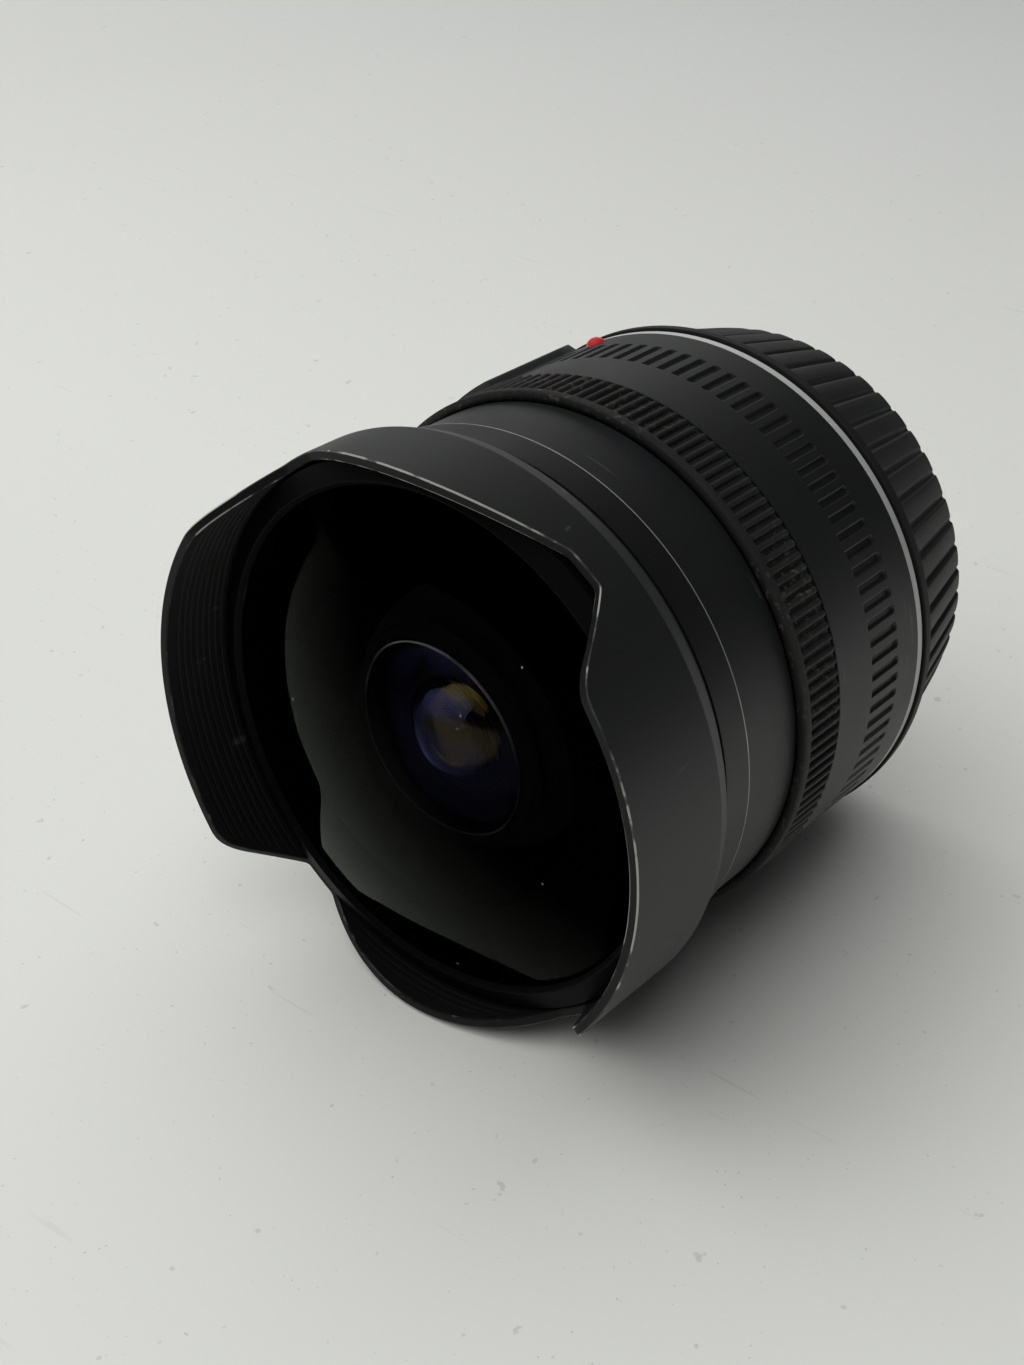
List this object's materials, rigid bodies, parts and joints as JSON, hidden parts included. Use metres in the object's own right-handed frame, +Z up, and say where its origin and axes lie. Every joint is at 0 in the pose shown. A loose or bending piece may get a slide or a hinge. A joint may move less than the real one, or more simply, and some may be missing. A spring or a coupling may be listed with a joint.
{
  "type": "fisheye lens with rear cap",
  "caption": "Fisheye camera lens with a domed front glass, a fixed four-petal hood, a ribbed focus ring and a ribbed rear cap on its bayonet mount.",
  "frame": {"origin": "centre of the seating face of the camera mount, on the optical axis", "axes": "+Y along the optical axis towards the camera, the front glass looks along -Y; +Z up as the lens lies in the picture; the distance window faces -X"},
  "size_m": [0.073, 0.0794, 0.073],
  "materials": {
    "hood_black": "satin black paint worn to bare metal on the petal edges",
    "barrel_black": "satin black paint",
    "ring_grey": "dark grey anodised",
    "works_black": "matt black anodised",
    "works_bare": "bare turned",
    "grip_rubber": "ribbed, slightly dusty",
    "window_clear": "clear",
    "lens_glass": "clear, green and magenta coatings",
    "trim_grey": "satin light grey",
    "bead_red": "glossy",
    "mount_chrome": "satin chromed",
    "screw_steel": "plain",
    "screw_black": "blackened",
    "contact_plastic": "matt black",
    "contact_gold": "gilded",
    "board_green": "solder resist",
    "blade_black": "dry matt black coating",
    "gear_plastic": "natural",
    "motor_case": "dark grey",
    "switch_plastic": "fine grain",
    "drum_black": "matt black, plain pale marks",
    "cap_plastic": "satin black, lightly worn"
  },
  "bodies": {
    "barrel": {"rear_barrel": "barrel_black", "scale_window": "window_clear", "grey_trim_ring": "trim_grey", "index_dot": "bead_red", "bayonet_mount": "mount_chrome", "mount_screws": "screw_steel", "contact_block": "contact_plastic", "contact_pins": "contact_gold", "rear_baffle": "works_black", "circuit_board": "board_green", "inner_barrel": "works_bare", "af_motor": "motor_case", "gear_bridge": "works_bare"},
    "focus_ring": {"focus_ring": "works_black", "focus_grip": "grip_rubber", "cam_ring": "works_bare", "scale_drum": "drum_black"},
    "focus_unit": {"petal_hood": "hood_black", "hood_screws": "screw_black", "front_ring": "ring_grey", "front_barrel": "barrel_black", "front_cell": "works_black", "rear_cell": "works_black", "retaining_rings": "works_black", "focus_sleeve": "works_black", "cam_rollers": "screw_steel", "iris_base": "works_black", "iris_cover": "works_black", "iris_motor": "motor_case", "lens_1": "lens_glass", "lens_2": "lens_glass", "lens_3": "lens_glass", "lens_4": "lens_glass", "lens_5": "lens_glass", "lens_6": "lens_glass", "lens_7": "lens_glass", "lens_8": "lens_glass"},
    "reduction_gear": {"reduction_gear": "gear_plastic"},
    "motor_pinion": {"motor_pinion": "gear_plastic"},
    "iris_drive_ring": {"iris_drive_ring": "works_black"},
    "iris_pinion": {"iris_pinion": "gear_plastic"},
    "af_switch": {"af_switch": "switch_plastic"},
    "rear_cap": {"rear_cap": "cap_plastic"},
    "iris_blade_1": {"iris_blade_1": "blade_black"},
    "iris_blade_2": {"iris_blade_2": "blade_black"},
    "iris_blade_3": {"iris_blade_3": "blade_black"},
    "iris_blade_4": {"iris_blade_4": "blade_black"},
    "iris_blade_5": {"iris_blade_5": "blade_black"}
  },
  "joints": [
    {"name": "focus_turn", "type": "hinge", "parent": "barrel", "child": "focus_ring", "pos_m": [0, -0.024, 0], "axis": [0, 1, 0], "range_deg": [0, 75]},
    {"name": "focus_extend", "type": "slide", "parent": "barrel", "child": "focus_unit", "axis": [0, -1, 0], "range_m": [0, 0.0021]},
    {"name": "reduction_spin", "type": "hinge", "parent": "barrel", "child": "reduction_gear", "pos_m": [0.02651, -0.009, -0.01236], "axis": [0, 1, 0], "range_deg": [-900, 0]},
    {"name": "motor_spin", "type": "hinge", "parent": "barrel", "child": "motor_pinion", "pos_m": [0.02463, -0.008, -0.01578], "axis": [0, 1, 0], "range_deg": [0, 2025]},
    {"name": "iris_turn", "type": "hinge", "parent": "focus_unit", "child": "iris_drive_ring", "pos_m": [0, -0.0285, 0], "axis": [0, -1, 0], "range_deg": [0, 4.69]},
    {"name": "iris_motor_spin", "type": "hinge", "parent": "focus_unit", "child": "iris_pinion", "pos_m": [-0.01547, -0.028, -0.01298], "axis": [0, -1, 0], "range_deg": [-47.95, 0]},
    {"name": "switch_slide", "type": "slide", "parent": "barrel", "child": "af_switch", "axis": [0, -1, 0], "range_m": [0, 0.003]},
    {"name": "cap_off", "type": "slide", "parent": "barrel", "child": "rear_cap", "axis": [0, 1, 0], "range_m": [0, 0.03]},
    {"name": "blade_1_swing", "type": "hinge", "parent": "focus_unit", "child": "iris_blade_1", "pos_m": [-0.0152, -0.0295, 0], "axis": [0, 1, 0], "range_deg": [0, 26.5]},
    {"name": "blade_2_swing", "type": "hinge", "parent": "focus_unit", "child": "iris_blade_2", "pos_m": [-0.0047, -0.0295, 0.01446], "axis": [0, 1, 0], "range_deg": [0, 26.5]},
    {"name": "blade_3_swing", "type": "hinge", "parent": "focus_unit", "child": "iris_blade_3", "pos_m": [0.0123, -0.0295, 0.00893], "axis": [0, 1, 0], "range_deg": [0, 26.5]},
    {"name": "blade_4_swing", "type": "hinge", "parent": "focus_unit", "child": "iris_blade_4", "pos_m": [0.0123, -0.0295, -0.00893], "axis": [0, 1, 0], "range_deg": [0, 26.5]},
    {"name": "blade_5_swing", "type": "hinge", "parent": "focus_unit", "child": "iris_blade_5", "pos_m": [-0.0047, -0.0295, -0.01446], "axis": [0, 1, 0], "range_deg": [0, 26.5]}
  ],
  "couplings": [
    {"joint": "focus_extend", "follows": "focus_turn", "m_per_rad": 0.001604},
    {"joint": "reduction_spin", "follows": "focus_turn", "ratio": -12},
    {"joint": "motor_spin", "follows": "focus_turn", "ratio": 27},
    {"joint": "iris_motor_spin", "follows": "iris_turn", "ratio": -10.222},
    {"joint": "blade_1_swing", "follows": "iris_turn", "ratio": 5.65},
    {"joint": "blade_2_swing", "follows": "iris_turn", "ratio": 5.65},
    {"joint": "blade_3_swing", "follows": "iris_turn", "ratio": 5.65},
    {"joint": "blade_4_swing", "follows": "iris_turn", "ratio": 5.65},
    {"joint": "blade_5_swing", "follows": "iris_turn", "ratio": 5.65}
  ]
}
